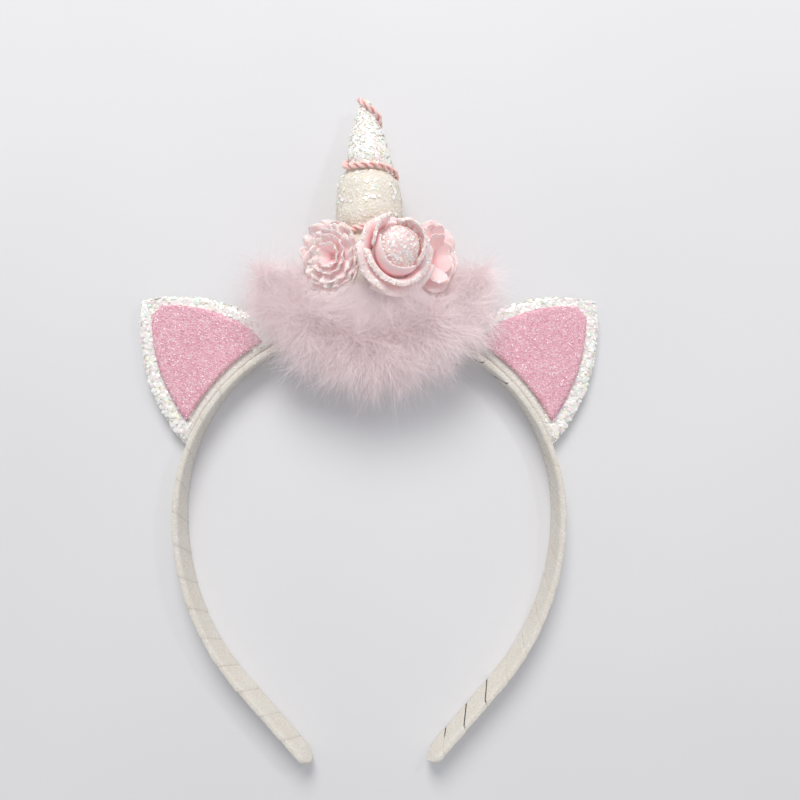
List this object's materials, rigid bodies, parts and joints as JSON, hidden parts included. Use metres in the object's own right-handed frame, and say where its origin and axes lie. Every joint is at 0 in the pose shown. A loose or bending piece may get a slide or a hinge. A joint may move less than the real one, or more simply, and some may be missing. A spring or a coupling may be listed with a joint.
{
  "type": "unicorn horn headband",
  "caption": "Slim ribbon-wrapped alice band with a stuffed cone horn wound with cord, two felt ears, fabric flowers and a feather trim at the horn's foot, lying flat.",
  "frame": {"origin": "on the hoop's lower edge, at the middle of its crown", "axes": "+Y from the hoop's open ends to the horn's tip, +Z from the back edge that it lies on to the front edge, +X to the right as seen from the front"},
  "size_m": [0.15, 0.2168, 0.0348],
  "materials": {
    "cream_ribbon": "cream ribbon with fine glitter thread, wound in a spiral",
    "cream_glitter_felt": "cream felt with iridescent glitter flakes",
    "pink_cord": "twisted satin cord",
    "white_glitter_felt": "white felt covered with chunky iridescent glitter",
    "pink_glitter_felt": "pink felt with fine glitter",
    "rose_satin": "soft satin petals with glittered rims",
    "pale_chiffon": "thin pale pink chiffon petals",
    "dusty_pink_feather": "fine fluffy feather down"
  },
  "bodies": {
    "root": {"band": "cream_ribbon", "horn": "cream_glitter_felt", "horn_cord": "pink_cord", "ear_left_shell": "white_glitter_felt", "ear_left_inner": "pink_glitter_felt", "ear_right_shell": "white_glitter_felt", "ear_right_inner": "pink_glitter_felt", "rose": "rose_satin", "flower_left": "pale_chiffon", "flower_right": "pale_chiffon", "fur_trim": "dusty_pink_feather"}
  },
  "joints": []
}
